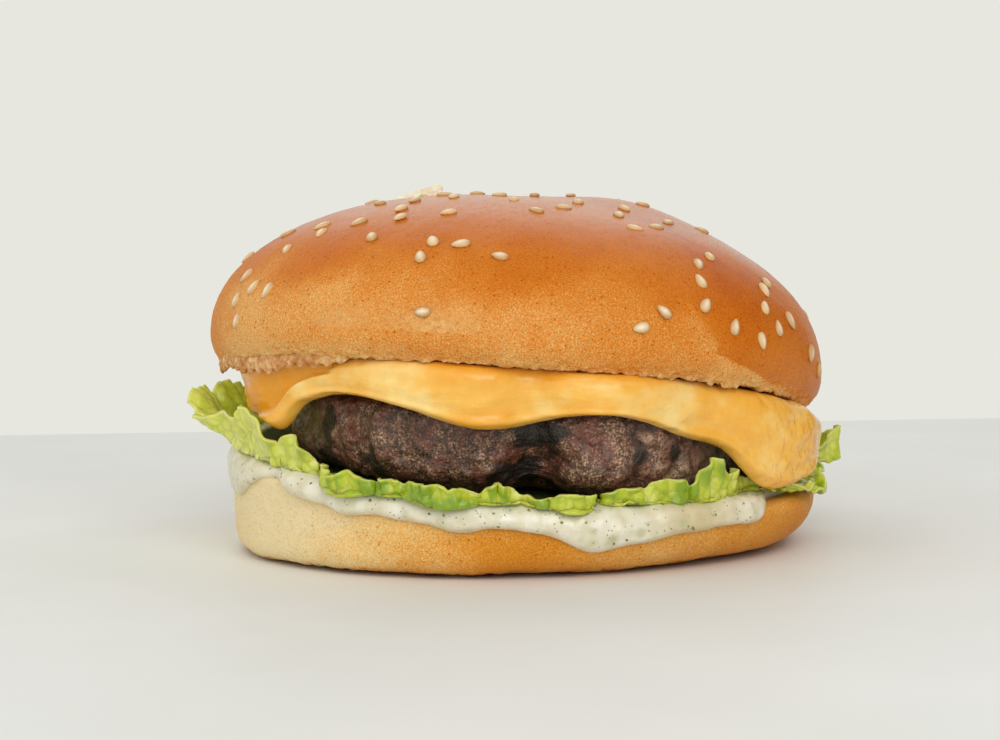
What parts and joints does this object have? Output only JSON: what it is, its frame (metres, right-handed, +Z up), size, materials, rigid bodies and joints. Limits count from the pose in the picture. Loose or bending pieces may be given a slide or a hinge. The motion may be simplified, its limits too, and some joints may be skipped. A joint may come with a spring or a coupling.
{
  "type": "cheeseburger",
  "caption": "Thick beef patty under a melted cheese slice in a sesame bun, with ruffled lettuce leaves and herb sauce hanging over the lower half.",
  "frame": {"origin": "on the resting surface, under the middle of the lower half of the bun", "axes": "+Z up, +X to the right of the shown side, the shown side faces -Y"},
  "size_m": [0.1252, 0.1132, 0.0681],
  "materials": {
    "crust": "glossy baked crust",
    "heel_crust": "soft pale baked crust",
    "sauce": "wet creamy sauce with herb flecks",
    "leaf": "crisp fresh leaf",
    "beef": "seared coarse mince, moist",
    "cheese": "smooth melted cheese"
  },
  "bodies": {
    "root": {"bun_heel": "heel_crust", "herb_sauce": "sauce", "lettuce_left": "leaf", "lettuce_front": "leaf", "lettuce_right": "leaf", "lettuce_back": "leaf", "beef_patty": "beef", "cheese_slice": "cheese", "bun_crown": "crust"}
  },
  "joints": []
}
